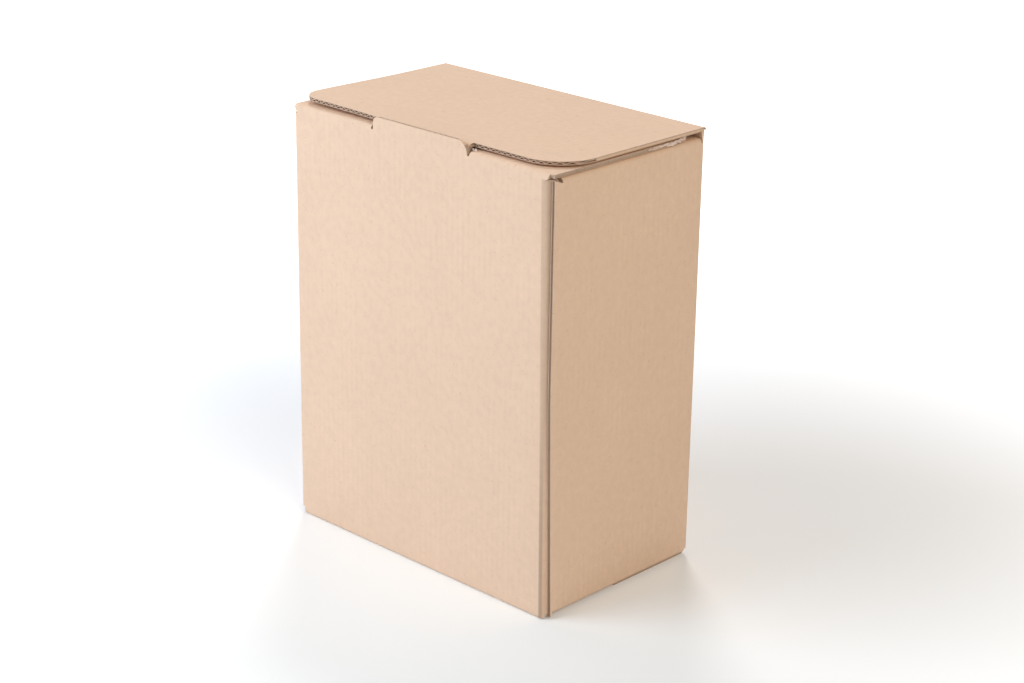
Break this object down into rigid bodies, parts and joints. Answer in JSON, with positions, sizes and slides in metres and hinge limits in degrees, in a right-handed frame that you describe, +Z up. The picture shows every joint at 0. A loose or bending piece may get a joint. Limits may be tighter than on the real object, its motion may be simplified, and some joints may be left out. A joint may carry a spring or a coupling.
{
  "type": "bag in box carton",
  "caption": "Upright tuck-top corrugated carton for a bag-in-box pack, with a hinged lid whose tongue tucks in behind a raised lip of the front panel.",
  "frame": {"origin": "middle of the base, on the surface the carton stands on", "axes": "+Z up, +Y towards the back panel that carries the lid, +X to the right seen from the front"},
  "size_m": [0.1684, 0.1016, 0.2166],
  "materials": {
    "kraft_board": "matt brown kraft liner on E-flute corrugated board"
  },
  "bodies": {
    "carton": {"carton_body": "kraft_board"},
    "lid": {"lid_flap": "kraft_board"}
  },
  "joints": [
    {"name": "lid_fold", "type": "hinge", "parent": "carton", "child": "lid", "pos_m": [0, 0.0508, 0.2151], "axis": [-1, 0, 0], "range_deg": [0, 250]}
  ]
}
